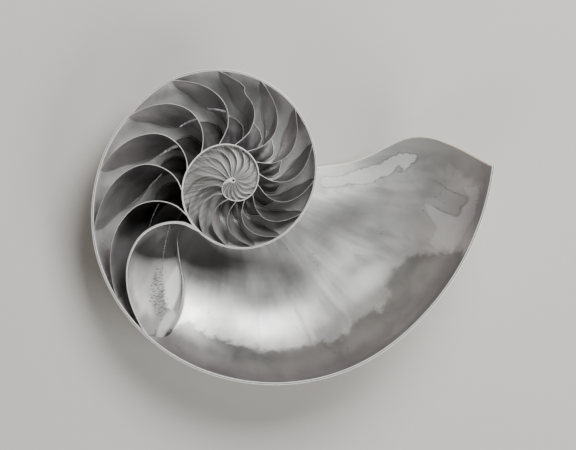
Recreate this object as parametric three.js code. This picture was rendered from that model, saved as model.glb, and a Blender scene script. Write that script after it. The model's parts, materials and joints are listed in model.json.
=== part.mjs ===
// Half of a chambered nautilus shell, sawn along its middle plane and lying on its convex back.
//
// The shell is one grown piece, so it is one closed body. It is built in the plane of the saw cut:
// X to the right, Y up, Z out of the cut, with the centre of the coil at the origin, and is then
// turned into the pose in which it rests by itself. An angle is in degrees and keeps growing from
// the oldest chamber to the lip, so one full turn adds 360.
import * as THREE from 'three';

// The coil: radius of the outer surface in the cut plane, in mm, at each angle.
const COIL = [
  [-170, 1.25], [110, 1.35], [165, 2.4], [200, 4.6], [220, 6.2], [240, 7.4], [270, 8.4], [300, 9.2],
  [330, 9.7], [360, 10.3], [390, 11.5], [420, 12.9], [450, 14.7], [480, 16.4], [510, 18.2],
  [540, 20.7], [570, 23.3], [600, 25.8], [630, 27.9], [660, 29.6], [690, 31.3], [720, 33.8],
  [750, 36.8], [780, 40.9], [810, 45.0], [840, 48.6], [870, 51.1], [885, 53.6], [900, 56.5],
  [930, 64.3], [960, 73.0], [990, 81.9], [1020, 90.6], [1050, 97.2], [1070, 102.7], [1083, 106.9],
  [1100, 112.5],
];
const TURN = 360;
const CORE_RADIUS = 1.1;

// Half of the section of a whorl, as parts of the coil's radius there: distance from the axis, depth
// behind the cut. It runs from the outer rim over the flank to the umbilicus.
const SECTION = [
  [1, 0], [0.985, 0.09], [0.925, 0.195], [0.79, 0.295], [0.61, 0.352], [0.43, 0.362],
  [0.26, 0.33], [0.13, 0.27], [0.05, 0.21],
];

// The lip of the body chamber: its angle in the cut, and how far ahead of that it runs at each
// distance from the axis, given as a part of the coil's radius.
const LIP_ANGLE = 1083;
const LIP = [
  [0.05, 3], [0.2, 5.5], [0.32, 6.4], [0.42, 5.9], [0.5, 7], [0.58, 9.3], [0.67, 10.9],
  [0.75, 9.8], [0.83, 6.9], [0.92, 3.2], [1, 0],
];

// Septa, newest first: the angle at which each one meets the outer wall.
const SEPTUM_ANGLES = [960, 945, 919, 895, 868, 841, 817, 794, 769, 744, 720, 694, 669, 647, 624];
const OLDER_SEPTUM_STEP = 23;
const OLDEST_SEPTUM_ANGLE = 215;
const FIRST_CHAMBER_END = 203;
const FULL_BEND_AFTER = 90;
const LEAST_BEND = 0.1;

// A septum's line in the cut: angle from its outer end, at each part of the way to the inner wall.
// The newest septa bulge more. The line changes from one to the other between two angles.
const OLD_LINE = [
  [0, 0], [0.236, -16], [0.459, -24.5], [0.632, -26], [0.764, -24.5], [0.887, -19], [1, -10],
];
const NEW_LINE = [
  [0, 0], [0.045, -6], [0.1, -12], [0.175, -18], [0.26, -23], [0.36, -27], [0.46, -29.8],
  [0.58, -31], [0.7, -30.3], [0.8, -28], [0.89, -23.7], [0.96, -17], [1, -9],
];
const LINE_CHANGE = [835, 940];

// Where a septum meets the flank: angle from its outer end, at each part of the coil's radius.
const SUTURE = [
  [0.05, -38], [0.3, -40], [0.4, -41], [0.47, -41], [0.535, -37], [0.59, -25], [0.63, -15],
  [0.71, -8], [0.82, -4.4], [0.95, 0], [1, 0],
];
const LAST_SUTURE = [
  [0.05, -36], [0.3, -34], [0.4, -27], [0.47, -19], [0.55, -7], [0.62, 1], [0.69, 4.6],
  [0.86, 6.4], [0.96, 4], [1, 0],
];

// A septum's inner edge runs back to this angle at the axis, and its bulge fades by this power.
const INNER_END_ANGLE = -38;
const BULGE_FADE = 1.5;

// Thickness in mm: a part that every wall has, and a part that grows with the coil's radius.
const WALL = { base: 0.35, growth: 0.0065 };
const SEPTUM = { base: 0.3, growth: 0.0042 };
const LAST_SEPTUM_EXTRA = 0.6;
const LAST_SEPTUM_BEND = 0.96;

// A septum gets thinner where it runs along the coil, nearer to the axis than this part of the
// coil's radius, and where half of it would be more than this angle.
const STEEPEST = 0.42;
const THINNING_RADIUS = 0.3;
const LARGEST_SHIFT = 5.5;

// The umbilicus: depth of its callus behind the cut, and the small perforation at the cut.
const CALLUS_DEPTH = 15;
const PERFORATION = { radius: 0.6, depth: 1.6, sides: 8 };

// The pose at rest: turned about X, then about Y, in degrees.
const REST_TURN = { x: 0.77, y: -10.53 };

// Facets: the levels of s, which are 0 in the cut and 1 at the axis, the levels of h along a septum,
// and the number of facets along the rest. A small old chamber is shallower than the others.
const LEVELS = [0, 0.07, 0.16, 0.28, 0.41, 0.52, 0.64, 0.79, 1];
const SEPTUM_ROWS = [0, 0.08, 0.22, 0.42, 0.65, 0.87, 1];
const SEPTUM_FACETS = SEPTUM_ROWS.length - 1;
const BODY_WALL_FACETS = 15;
const OUTSIDE_FACETS = 62;
const CHAMBER_KINDS = [
  { youngest: 960, wall: 3, levels: LEVELS },
  { youngest: 870, wall: 2, levels: LEVELS },
  { youngest: 580, wall: 1, levels: LEVELS.slice(0, -2) },
  { youngest: 470, wall: 1, levels: LEVELS.slice(0, -3) },
];

const SHELL_COLOUR = 0xe9e4da;
const NEAR = 0.005;

const { clamp, inverseLerp, lerp, degToRad, radToDeg } = THREE.MathUtils;

// A smooth curve through points [x, y], with the slope at each from its two neighbours.
function smooth(points, x) {
  const last = points.length - 1;
  let i = 0;
  while (i < last - 1 && x > points[i + 1][0]) i += 1;
  const secant = (k) => (points[k + 1][1] - points[k][1]) / (points[k + 1][0] - points[k][0]);
  const slope = (k) => {
    if (k === 0) return secant(0);
    if (k === last) return secant(last - 1);
    const before = points[k][0] - points[k - 1][0];
    const after = points[k + 1][0] - points[k][0];
    return (secant(k - 1) * after + secant(k) * before) / (before + after);
  };
  const width = points[i + 1][0] - points[i][0];
  const t = clamp((x - points[i][0]) / width, 0, 1);
  const [h1, h2] = [t * t * (3 - 2 * t), t * (1 - t)];
  return lerp(points[i][1], points[i + 1][1], h1)
    + width * h2 * ((1 - t) * slope(i) - t * slope(i + 1));
}

const LOG_COIL = COIL.map(([angle, radius]) => [angle, Math.log(radius)]);
const coilRadius = (angle) => Math.exp(smooth(LOG_COIL, angle));
const thickness = (rule, radius) => rule.base + rule.growth * radius;

// The section as two curves over s, from 0 at the rim to 1 at the umbilicus. A mirrored first point
// makes the flank leave the cut squarely.
const sectionLengths = [0];
for (let i = 1; i < SECTION.length; i += 1) {
  const step = Math.hypot(SECTION[i][0] - SECTION[i - 1][0], SECTION[i][1] - SECTION[i - 1][1]);
  sectionLengths.push(sectionLengths[i - 1] + step);
}
const sectionLength = sectionLengths[SECTION.length - 1];
const sectionCurve = (axis, mirror) => [
  [-sectionLengths[1] / sectionLength, mirror * SECTION[1][axis]],
  ...SECTION.map((point, i) => [sectionLengths[i] / sectionLength, point[axis]]),
];
const REACH = sectionCurve(0, 1);
const DEPTH = sectionCurve(1, -1);
const reach = (s) => smooth(REACH, s);
const depth = (s) => smooth(DEPTH, s);

// Unit normal of the section, pointing into the whorl, as [away from the axis, depth].
function inward(s) {
  if (s === 0) return [-1, 0];
  const away = reach(s + NEAR) - reach(s - NEAR);
  const down = depth(s + NEAR) - depth(s - NEAR);
  const length = Math.hypot(away, down);
  return [-down / length, away / length];
}

// A point is kept as {angle, away, down} until it is placed.
const place = ({ angle, away, down }) => new THREE.Vector3(
  away * Math.cos(degToRad(angle)),
  away * Math.sin(degToRad(angle)),
  -down,
);

function outerPoint(angle, s) {
  const radius = coilRadius(angle);
  const part = reach(s);
  return { angle, away: lerp(CORE_RADIUS, radius, part), down: depth(s) * radius };
}

function innerPoint(angle, s) {
  const point = outerPoint(angle, s);
  const wall = thickness(WALL, coilRadius(angle));
  const [away, down] = inward(s);
  return { angle, away: point.away + wall * away, down: point.down + wall * down };
}

// A point in the hollow of a whorl: h is 0 at its outer wall and 1 at the whorl inside it.
function hollowPoint(angle, s, h) {
  const outer = innerPoint(angle, s);
  const inner = outerPoint(angle - TURN, s);
  return { angle, away: lerp(outer.away, inner.away, h), down: lerp(outer.down, inner.down, h) };
}

// The angle of a septum's middle surface, measured from its outer end.
function septumBend({ youth, suture, bend }, s, h) {
  const line = (part) => lerp(smooth(OLD_LINE, part), smooth(NEW_LINE, part), youth);
  const foot = line(1);
  const flank = smooth(suture, reach(s));
  const dorsal = lerp(foot, INNER_END_ANGLE, s);
  const bulge = line(h) - foot * h;
  return bend * (lerp(flank, dorsal, h) + bulge * (1 - s) ** BULGE_FADE);
}

// One face of a septum: side is 1 towards the lip and -1 towards the older chambers.
function septumFace(septum, s, h, side) {
  const at = (u, v) => place(hollowPoint(septum.angle + septumBend(septum, u, v), u, v));
  const [u0, u1] = [Math.max(s - NEAR, 0), Math.min(s + NEAR, 1)];
  const [v0, v1] = [Math.max(h - NEAR, 0), Math.min(h + NEAR, 1)];
  const normal = at(u1, h).sub(at(u0, h)).cross(at(s, v1).sub(at(s, v0))).normalize();
  const angle = septum.angle + septumBend(septum, s, h);
  const point = hollowPoint(angle, s, h);
  const along = Math.abs(normal.dot(place({ angle: angle + 90, away: 1, down: 0 })));
  const away = Math.max(point.away, THINNING_RADIUS * coilRadius(angle));
  const shift = radToDeg(septum.thickness / 2 / Math.max(along, STEEPEST) / away);
  return hollowPoint(angle + side * Math.min(shift, LARGEST_SHIFT), s, h);
}

// All septa, newest first. The bend grows from almost nothing at the end of the first chamber.
function makeSepta() {
  const angles = [...SEPTUM_ANGLES];
  while (angles.at(-1) - OLDER_SEPTUM_STEP > OLDEST_SEPTUM_ANGLE) {
    angles.push(angles.at(-1) - OLDER_SEPTUM_STEP);
  }
  angles.push(FIRST_CHAMBER_END);
  return angles.map((angle, i) => ({
    angle,
    youth: clamp(inverseLerp(...LINE_CHANGE, angle), 0, 1),
    suture: i === 0 ? LAST_SUTURE : SUTURE,
    thickness: thickness(SEPTUM, coilRadius(angle)) + (i === 0 ? LAST_SEPTUM_EXTRA : 0),
    bend: (i === 0 ? LAST_SEPTUM_BEND : 1)
      * clamp((angle - FIRST_CHAMBER_END) / FULL_BEND_AFTER, LEAST_BEND, 1),
  }));
}

// A closed body under construction: its points, its triangles, and the loops that lie in the cut.
const positions = [];
const triangles = [];
const addPoint = (vector) => positions.push(vector) - 1;

// Joins loops of equal length, one below the other, with the body on the left of each loop.
function joinLoops(loops) {
  for (let k = 0; k + 1 < loops.length; k += 1) {
    const [upper, lower] = [loops[k], loops[k + 1]];
    upper.forEach((a, i) => {
      const next = (i + 1) % upper.length;
      const [b, c, d] = [upper[next], lower[next], lower[i]];
      const even = positions[a].distanceTo(positions[c]) < positions[b].distanceTo(positions[d]);
      if (even) triangles.push([a, d, c], [a, c, b]);
      else triangles.push([a, d, b], [b, d, c]);
    });
  }
}

const steps = (count, visit) => Array.from({ length: count + 1 }, (_, i) => visit(i / count));

// A point in a chamber: s from the cut to the axis, h from the outer wall to the whorl inside, and
// t from the younger septum to the older one.
function chamberPoint(young, old, s, h, t) {
  const ends = [septumFace(young, s, h, -1).angle, septumFace(old, s, h, 1).angle];
  return hollowPoint(lerp(...ends, t), s, h);
}

// The way round the edge of a grid, as [row, column], clockwise as seen from the cut.
function gridEdge(rows, columns) {
  const count = (length, visit) => Array.from({ length }, (_, i) => visit(i));
  return [
    ...count(columns, (i) => [0, i]),
    ...count(rows, (i) => [i, columns]),
    ...count(columns, (i) => [rows, columns - i]),
    ...count(rows, (i) => [rows - i, 0]),
  ];
}

function addChamber(young, old) {
  const { wall, levels } = CHAMBER_KINDS.findLast(({ youngest }) => young.angle <= youngest);
  const edge = gridEdge(SEPTUM_FACETS, wall);
  const add = (s, [row, column]) => (
    addPoint(place(chamberPoint(young, old, s, SEPTUM_ROWS[row], column / wall)))
  );
  const loops = levels.map((s) => edge.map((corner) => add(s, corner)));
  joinLoops(loops);
  const known = new Map(edge.map((corner, i) => [`${corner}`, loops.at(-1)[i]]));
  const at = (...corner) => {
    const key = `${corner}`;
    if (!known.has(key)) known.set(key, add(levels.at(-1), corner));
    return known.get(key);
  };
  for (let i = 0; i < SEPTUM_FACETS; i += 1) {
    for (let j = 0; j < wall; j += 1) {
      const [a, b, c, d] = [at(i, j), at(i + 1, j), at(i + 1, j + 1), at(i, j + 1)];
      triangles.push([a, b, c], [a, c, d]);
    }
  }
  return loops[0];
}

const lipAngle = (s) => LIP_ANGLE + smooth(LIP, reach(s));

// The outside: the body chamber's wall, the last septum, the whorl inside it, and on round the
// outside to the lip.
function outsideLoop(last, s) {
  const lip = lipAngle(s);
  const septum = SEPTUM_ROWS.map((h) => septumFace(last, s, h, 1));
  const wall = steps(BODY_WALL_FACETS, (t) => innerPoint(lerp(lip, septum[0].angle, t), s));
  const foot = septum[SEPTUM_FACETS].angle - TURN;
  const outside = steps(OUTSIDE_FACETS, (t) => outerPoint(lerp(foot, lip, t), s)).slice(1);
  return [...wall.slice(0, -1), ...septum, ...outside];
}

function addOutside(last) {
  const rows = LEVELS.map((s) => outsideLoop(last, s));
  const loops = rows.map((row) => row.map((point) => addPoint(place(point))));
  joinLoops(loops);
  closeUmbilicus(rows.at(-1), loops.at(-1));
  return loops[0];
}

// Fills the strip between two rows of points, each with its way along, from 0 to 1.
function fillStrip(left, right) {
  let [i, j] = [0, 0];
  while (i + 1 < left.length || j + 1 < right.length) {
    const nextLeft = left[i + 1]?.way ?? Infinity;
    const nextRight = right[j + 1]?.way ?? Infinity;
    if (nextLeft < nextRight) {
      triangles.push([left[i + 1].point, left[i].point, right[j].point]);
      i += 1;
    } else {
      triangles.push([right[j].point, right[j + 1].point, left[i].point]);
      j += 1;
    }
  }
}

// At the axis, the hollow of the body chamber ends on the column, and the outside in the callus.
function closeUmbilicus(row, loop) {
  const foot = BODY_WALL_FACETS + SEPTUM_FACETS;
  const underLip = row.findIndex(({ angle }, i) => i > foot && angle + TURN >= row[0].angle);
  const wallEnd = 0.95;
  const ways = [
    ...steps(BODY_WALL_FACETS, (t) => wallEnd * t),
    ...SEPTUM_ROWS.slice(1, -1).map((h) => lerp(wallEnd, 1, h)),
  ];
  const left = loop.slice(0, foot).map((point, i) => ({ point, way: ways[i] }));
  const right = loop.slice(foot, underLip + 1).reverse();
  fillStrip(left, right.map((point, i) => ({ point, way: i / (underLip - foot) })));
  const callus = addPoint(new THREE.Vector3(0, 0, -CALLUS_DEPTH));
  const ring = [...loop.slice(underLip), loop[0]];
  ring.forEach((point, i) => triangles.push([ring[(i + 1) % ring.length], point, callus]));
}

// The small perforation at the centre of the coil, a shallow pit.
function addPerforation() {
  const ring = (down) => Array.from({ length: PERFORATION.sides }, (_, i) => {
    const angle = -TURN * (i / PERFORATION.sides);
    return addPoint(place({ angle, away: PERFORATION.radius, down }));
  });
  const loops = [ring(0), ring(PERFORATION.depth)];
  joinLoops(loops);
  const floor = addPoint(new THREE.Vector3(0, 0, -PERFORATION.depth));
  loops[1].forEach((point, i) => {
    triangles.push([loops[1][(i + 1) % PERFORATION.sides], point, floor]);
  });
  return loops[0];
}

// The sawn face: everything inside the outline, less the chambers and the perforation.
function addCutFace(outline, holes) {
  const flatten = ({ x, y }) => new THREE.Vector2(x, y);
  const inPlane = (loop) => loop.map((point) => flatten(positions[point]));
  const points = [outline, ...holes].flat();
  const faces = THREE.ShapeUtils.triangulateShape(inPlane(outline), holes.map(inPlane));
  faces.forEach((face) => {
    const [a, b, c] = face.map((corner) => points[corner]);
    const corners = inPlane([a, b, c]);
    triangles.push(THREE.ShapeUtils.area(corners) > 0 ? [a, b, c] : [a, c, b]);
  });
}

function makeShell() {
  const septa = makeSepta();
  const outline = addOutside(septa[0]);
  const chambers = septa.slice(1).map((old, i) => addChamber(septa[i], old));
  addCutFace(outline, [...chambers, addPerforation()]);
  const geometry = new THREE.BufferGeometry();
  const coordinates = positions.flatMap((point) => point.toArray());
  geometry.setAttribute('position', new THREE.Float32BufferAttribute(coordinates, 3));
  geometry.setIndex(triangles.flat());
  geometry.computeVertexNormals();
  const nacre = new THREE.MeshStandardMaterial({ color: SHELL_COLOUR, roughness: 0.35, metalness: 0 });
  const shell = new THREE.Mesh(geometry, nacre);
  shell.name = 'nautilus_shell_half';
  return shell;
}

// The shell in its pose at rest, with the origin under the middle of its box.
const shell = makeShell();
shell.rotation.set(degToRad(REST_TURN.x), degToRad(REST_TURN.y), 0);
const part = new THREE.Group();
part.add(shell);
const box = new THREE.Box3().setFromObject(part, true);
const middle = box.getCenter(new THREE.Vector3());
shell.position.set(-middle.x, -middle.y, -box.min.z);

export default part;
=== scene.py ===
"""Half of a chambered nautilus shell, sawn through its middle plane, in a plain studio.

The shell's lengths are in millimetres and its angles in degrees. Blender works in metres, so the
shell is scaled by MM as it is made, and the studio's lengths and the properties are in metres. The
shell is drawn in the plane of the saw cut: X to the right, Y up, Z out of the cut, with the centre
of the coil at the origin. An angle round the coil keeps growing from the oldest chamber to the lip,
so one full turn adds 360.
"""
import json
import math

import bpy
import numpy as np
from mathutils import Matrix, Vector, geometry


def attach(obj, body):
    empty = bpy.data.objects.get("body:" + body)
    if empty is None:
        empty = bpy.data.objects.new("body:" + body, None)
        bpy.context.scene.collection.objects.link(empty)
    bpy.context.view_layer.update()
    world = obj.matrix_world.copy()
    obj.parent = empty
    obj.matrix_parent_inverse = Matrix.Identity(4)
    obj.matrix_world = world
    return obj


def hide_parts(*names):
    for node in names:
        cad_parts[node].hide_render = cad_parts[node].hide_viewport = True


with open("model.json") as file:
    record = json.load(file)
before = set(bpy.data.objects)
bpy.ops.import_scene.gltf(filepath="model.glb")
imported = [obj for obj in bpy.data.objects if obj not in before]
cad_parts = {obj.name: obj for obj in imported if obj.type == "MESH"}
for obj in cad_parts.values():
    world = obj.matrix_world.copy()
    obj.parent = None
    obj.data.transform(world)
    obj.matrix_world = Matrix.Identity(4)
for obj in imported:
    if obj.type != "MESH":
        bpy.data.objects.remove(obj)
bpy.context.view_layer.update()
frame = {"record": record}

bl_info = {
    "name": "Nautilus Shell Half",
    "version": (1, 0, 0),
    "blender": (4, 5, 0),
    "location": "3D View > Sidebar > Nautilus",
    "description": "Builds half of a sawn nautilus shell with its chambers, finish and studio",
    "category": "Add Mesh",
}

MM = 0.001
TURN = 360.0

# The coil: radius of the outer surface in the cut plane at each angle.
COIL = (
    (-170, 1.25), (110, 1.35), (165, 2.4), (200, 4.6), (220, 6.2), (240, 7.4), (270, 8.4),
    (300, 9.2), (330, 9.7), (360, 10.3), (390, 11.5), (420, 12.9), (450, 14.7), (480, 16.4),
    (510, 18.2), (540, 20.7), (570, 23.3), (600, 25.8), (630, 27.9), (660, 29.6), (690, 31.3),
    (720, 33.8), (750, 36.8), (780, 40.9), (810, 45.0), (840, 48.6), (870, 51.1), (885, 53.6),
    (900, 56.5), (930, 64.3), (960, 73.0), (990, 81.9), (1020, 90.6), (1050, 97.2), (1070, 102.7),
    (1083, 106.9), (1100, 112.5),
)
CORE_RADIUS = 1.1

# The smooth flank is drawn a little shallower than the faceted one, whose flats it would bulge past.
FLANK_DEPTH = 0.985

# Half of the section of a whorl, as parts of the coil's radius there: distance from the axis, depth
# behind the cut. It runs from the outer rim over the flank to the umbilicus.
SECTION = (
    (1, 0), (0.985, 0.09), (0.925, 0.195), (0.79, 0.295), (0.61, 0.352), (0.43, 0.362),
    (0.26, 0.33), (0.13, 0.27), (0.05, 0.21),
)

# The lip: its angle in the cut, and how far ahead of that it runs at each part of the radius.
LIP_ANGLE = 1083
LIP = (
    (0.05, 3), (0.2, 5.5), (0.32, 6.4), (0.42, 5.9), (0.5, 7), (0.58, 9.3), (0.67, 10.9),
    (0.75, 9.8), (0.83, 6.9), (0.92, 3.2), (1, 0),
)

# Septa, newest first: the angle at which each one meets the outer wall.
SEPTUM_ANGLES = (960, 945, 919, 895, 868, 841, 817, 794, 769, 744, 720, 694, 669, 647, 624)
OLDER_SEPTUM_STEP = 23
OLDEST_SEPTUM_ANGLE = 215
FIRST_CHAMBER_END = 203

# The first septa are nearly straight. A septum is fully bent this far round from the first chamber.
FULL_BEND_AFTER = 90
LEAST_BEND = 0.1

# A septum's line in the cut: angle from its outer end, at each part of the way to the inner wall.
# The older septa have one line and the newest the other, with a change between two angles.
OLD_LINE = (
    (0, 0), (0.236, -16), (0.459, -24.5), (0.632, -26), (0.764, -24.5), (0.887, -19), (1, -10),
)
NEW_LINE = (
    (0, 0), (0.045, -6), (0.1, -12), (0.175, -18), (0.26, -23), (0.36, -27), (0.46, -29.8),
    (0.58, -31), (0.7, -30.3), (0.8, -28), (0.89, -23.7), (0.96, -17), (1, -9),
)
LINE_CHANGE = (835, 940)

# Where a septum meets the flank: angle from its outer end, at each part of the coil's radius.
SUTURE = (
    (0.05, -38), (0.3, -40), (0.4, -41), (0.47, -41), (0.535, -37), (0.59, -25), (0.63, -15),
    (0.71, -8), (0.82, -4.4), (0.95, 0), (1, 0),
)
LAST_SUTURE = (
    (0.05, -36), (0.3, -34), (0.4, -27), (0.47, -19), (0.55, -7), (0.62, 1), (0.69, 4.6),
    (0.86, 6.4), (0.96, 4), (1, 0),
)
# One septum is broken near its outer end: the kink's place, width and size, in parts of its length
# and in degrees, and how fast it fades below the cut.
BROKEN_SEPTUM = 817
KINK_PLACE, KINK_WIDTH, KINK_SIZE, KINK_FADE = 0.2, 0.075, 3.4, 12

# A septum's inner end at the axis, as an angle from its outer end, and how fast its bulge fades
# below the cut.
INNER_END_ANGLE = -38
BULGE_FADE = 1.5

# Thickness: the wall thickens quickly in the young shell and then hardly more; a septum has a part
# that all have and a part that grows with the coil's radius.
WALL_BASE, WALL_FULL, WALL_RADIUS = 0.12, 1.05, 30
SEPTUM_BASE, SEPTUM_GROWTH = 0.08, 0.0038
LAST_SEPTUM_EXTRA = 0.55
LAST_SEPTUM_BEND = 0.96

# Limits on how far a septum's thickness turns its faces: the steepest slope and the smallest part of
# the coil's radius that count, and the largest turn.
STEEPEST = 0.42
THINNING_RADIUS = 0.3
LARGEST_SHIFT = 5.5

# A septum swells where it joins a wall, by this much of its thickness, over this part of the radius.
JOINT_SWELL = 0.7
JOINT_REACH = 0.009

# The umbilicus: depth of its callus behind the cut, how much the callus rises at its edge, and the
# small perforation at the cut, whose edge is rounded by this part of the other edges' rounding.
CALLUS_DEPTH = 15
CALLUS_LEAD = 6
PERFORATION_RADIUS = 0.55
PERFORATION_DEPTH = 1.6
PERFORATION_EDGE = 0.3

# The saw's edge is rounded in two steps: out from the edge of a hollow and down from the cut, as
# parts of the rounding, which is never more than this part of the wall's thickness.
EDGE_STEPS = ((1.0, 0.0), (0.3, 0.3))
EDGE_LIMIT = 0.2
# At a sharp corner the rounding is cut short, by a least divisor.
CORNER_LIMIT = 0.5

# The mount on the sawn face, in the plane of the cut.
MOUNT_PLACE = (-36.56, -62.04, 0)

# Small step for slopes, and the least length that a direction is divided by.
NEAR = 0.005
TINY = 1e-9

# What each point of the shell carries besides its place: the angle of its whorl, its way from the
# cut to the axis, its way from the outer wall to the whorl inside, its layer in the wall from
# outside to inside, 1 on a septum, its distance from where septum and wall join, and its distance
# behind the lip. Distances count up to a far one.
NOTES = ("turn", "side", "rise", "layer", "septum", "joint", "margin")
FAR = 99.0

# The septum note on the face of the last septum, which tells it from the older ones.
LAST_SEPTUM_NOTE = 0.25

# Areas of the mother of pearl, as outlines in the plane of the cut: patches near the lip, where the
# porcelain layer shows light or dark past a broken edge of the nacre, the painted shade along the outer
# wall of the body chamber, and on the face of the last septum three areas of painted light and a strip of
# painted reflection.
PATCHES = {
    "pale_patch": (
        (35.5, 2.6), (38, 2.2), (43.7, 1.6), (47.9, 3.4), (52.2, 5.1), (57.1, 6.5), (60.6, 6.9),
        (64.1, 9.3), (68.4, 11.5), (73.3, 11.8), (76.5, 11.1), (76.1, 9), (72.6, 6.2), (71.2, 4.6),
        (70.1, 5.8), (69.1, 7.6), (67.3, 6.5), (67.3, 3.7), (65.2, 2.8), (62, 2.3), (58.5, -0.2),
        (55, -0.9), (49.3, -0.9), (45.1, -1.2), (40.9, -2.6), (38, -1.9), (35.5, -3),
    ),
    "dark_patch": (
        (80.7, 1.2), (86.3, -1.6), (89.5, -4.1), (93.7, -5.8), (96.2, -6.9), (96.2, -8.3),
        (93.7, -10.7), (93.4, -12.9), (92.3, -14.3), (88.8, -13.2), (84.6, -11.1), (82.5, -8.6),
        (78.2, -6.2), (79.5, -2),
    ),
    "venter_shade": (
        (27.2, -68.6), (36.2, -65.3), (40, -65.8), (46.1, -62), (48.9, -57.9), (54.2, -55.9),
        (58.1, -52.1), (60, -53.5), (63.5, -49.1), (62.4, -43.2), (66, -36), (74, -30), (88, -28),
        (120, -30), (95, -80), (40, -110), (-40, -100), (-60, -70), (-32, -62), (-19, -57.5),
        (-8, -63.9), (6.8, -67.8), (15, -70),
    ),
    "bright_face": (
        (-28.5, -27.7), (-24, -30.8), (-22.4, -39.7), (-22.7, -46), (-25.6, -53.6), (-28.5, -51.7),
        (-29.2, -44.4), (-28.2, -35.5),
    ),
    "pale_band": (
        (-29.5, -25.6), (-28.5, -33.4), (-30.8, -34.5), (-33.9, -40.8), (-34.7, -50.2),
        (-33.7, -55.4), (-37.6, -50.7), (-37.9, -39.7), (-34.5, -31.9),
    ),
    "pale_foot": (
        (-25.6, -53), (-23.8, -55.4), (-29.8, -65.5), (-32.4, -65), (-29.2, -55.4),
    ),
    "scuffed_strip": (
        (-31.5, -33.5), (-29.8, -34.5), (-29.8, -40), (-28, -46), (-27, -51), (-29.5, -58),
        (-31.5, -58.5), (-33, -51), (-35.5, -51), (-34.5, -44), (-32.5, -38),
    ),
    "bright_tongue": (
        (94.5, -3), (97.3, -2.3), (100.4, -2.4), (101.1, -4.4), (100.1, -9.3), (98.7, -15),
        (95.9, -19.2), (93.7, -24.8), (90.2, -29.1), (88.1, -30.8), (81.1, -26.3), (80.7, -25.6),
        (83.2, -22), (84.2, -19.2), (82.1, -15.7), (80.4, -12.9), (78.9, -9.3), (78.2, -7.9),
        (84.6, -12), (92, -15.2), (94.4, -13.6), (94.6, -11.2), (97, -8.6), (96.9, -6.2),
    ),
}

# Painted light and shade on the mother of pearl, as soft spots: the middle in the plane of the cut, the
# reach along and across, the slant, and how much lighter, as painted light, or darker, as painted shade,
# the spot is.
PAINTED_LIGHT_AND_SHADE_SPOTS = (
    (-21, -24, 9, 8, -25, -1.3), (-13, -31, 11, 7, -28, -1.15), (0, -33, 9, 6, -12, -0.6),
    (10, -34, 10, 6, -8, -0.3), (24, -39, 14, 10, -25, -0.8), (46, -15, 24, 12, 15, -0.85),
    (96, -10, 16, 16, 60, -0.65), (70, -52, 32, 11, 42, -0.2), (22, -73, 32, 8, 2, -0.35),
    (54, -42, 18, 9, 35, 0.65), (-35, -20, 12, 12, 25, -0.6),
    (-8, -13, 9, 6, -30, -0.4), (-50, -2, 5, 9, 0, -0.35),
    (-14, -2, 6, 8, 0, -0.25), (10, -50, 18, 7, 0, -0.6), (-4, -63, 16, 8, -15, -0.6),
    (40, -28, 10, 4, -50, -0.3), (2, -44, 14, 5, -20, -0.1),
)

# Remains of the siphuncle in the newest chambers: three points each, as angle round the coil and
# distance from the axis, then the width of the tube at its start.
SIPHUNCLE = (
    ((935, 31.7), (943.7, 40), (952, 47), 0.42),
    ((917.5, 32), (924.5, 37.1), (930.4, 40.1), 0.28),
    ((894.8, 29.4), (906.8, 36.5), (912.8, 39.7), 0.42),
    ((867.8, 26.9), (875, 29.9), (882.7, 32.4), 1.5),
    ((840.7, 29.3), (848, 30.5), (855, 31), 1.4),
    ((816.2, 28.2), (823, 30), (830.3, 31.2), 1.2),
)
# The tube narrows from point to point, and lies below the cut, both as parts of its width.
SIPHUNCLE_TAPER = (1.0, 0.8, 0.35)
SIPHUNCLE_SINK = 0.7
TUBE_POINTS = 40
TUBE_SIDES = 14

# Finishes, in the order of the shell's material slots.
NACRE, CUT, PORCELAIN = range(3)

# Rows of the mesh for chambers up to an angle: along a septum, along a wall, from cut to axis. The
# body chamber has some more of the last kind.
CHAMBER_KINDS = ((470, 10, 3, 14), (600, 14, 4, 18), (770, 20, 6, 26), (960, 26, 8, 34))
OUTSIDE_EXTRA_ROWS = 8
# How close the rows lie at the cut, as part of an even spacing.
ROW_CLOSENESS = 0.35
# How far down from the cut the pockets reach, as part of the way to the axis, at each angle.
POCKET_DEPTH = ((100, 0.12), (460, 0.14), (590, 0.26), (680, 1.0))
BODY_COLUMNS = 190
OUTSIDE_COLUMNS = 330
LIP_COLUMNS = 5
CALLUS_RINGS = 12
PERFORATION_COLUMNS = 24
# The share of the body chamber's wall in the strip that closes the hollow at the axis.
WALL_SHARE = 0.95

# Patterns of the finishes: size, detail, roughness and warp. A size is in millimetres, or in degrees
# round the coil for one that follows the growth of the shell.
PATTERNS = {
    "growth_bands": (6.0, 3.0, 0.5, 0.8),
    "growth_streaks": (1.6, 3.0, 0.6, 0.3),
    "nacre_clouds": (15.0, 3.0, 0.5, 0.8),
    "chalky_ribs": (1.0, 4.0, 0.7, 0.0),
    "shade_edge": (5.0, 4.0, 0.55, 0.0),
    "ridge_edge": (1.2, 3.0, 0.55, 0.0),
    "margin_edge": (7.0, 4.0, 0.55, 0.0),
    "patch_edge": (1.6, 3.0, 0.55, 0.0),
    "reflection_strokes": (0.9, 2.0, 0.55, 0.0),
    "pit_groups": (13.0, 2.0, 0.55, 0.0),
    "saw_grain": (0.5, 3.0, 0.55, 0.0),
    "saw_scratches": (0.7, 4.0, 0.55, 0.0),
    "growth_lines": (0.9, 5.0, 0.65, 0.0),
    "growth_waves": (6.0, 3.0, 0.55, 0.0),
    "glaze_clouds": (14.0, 3.0, 0.5, 0.5),
    "flame_drift": (1.0, 3.0, 0.55, 0.0),
    "flame_fray": (2.2, 4.0, 0.55, 0.0),
    "chalk_crust": (0.9, 4.0, 0.7, 0.0),
    "board_tooth": (6.0, 3.0, 0.55, 0.0),
}
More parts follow.
